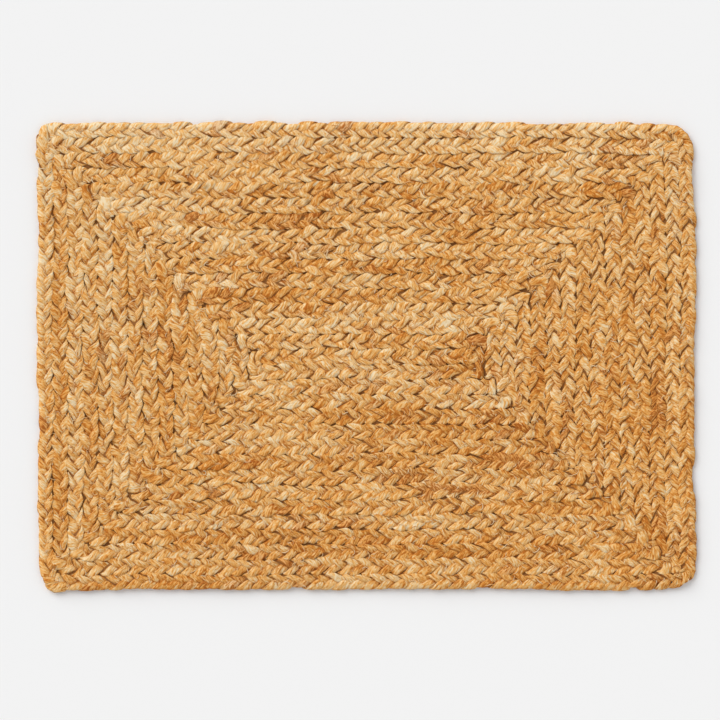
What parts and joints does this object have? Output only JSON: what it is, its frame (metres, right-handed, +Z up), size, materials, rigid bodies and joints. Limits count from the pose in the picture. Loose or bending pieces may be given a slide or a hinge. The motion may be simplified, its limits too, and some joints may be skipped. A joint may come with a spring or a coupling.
{
  "type": "braided jute placemat",
  "caption": "Rectangular placemat of one flat jute plait wound round and round from its middle and sewn edge to edge, lying flat to protect a table under a plate.",
  "frame": {"origin": "on the resting plane, under the middle of the mat's box", "axes": "+X along the mat's length, +Y across it towards the edge where the plait ends, +Z up out of its face"},
  "size_m": [0.483, 0.3426, 0.006],
  "materials": {
    "jute": "undyed jute tow, straw to honey gold with orange-brown runs, matt with a faint fibre sheen"
  },
  "bodies": {
    "root": {"braided_mat": "jute"}
  },
  "joints": []
}
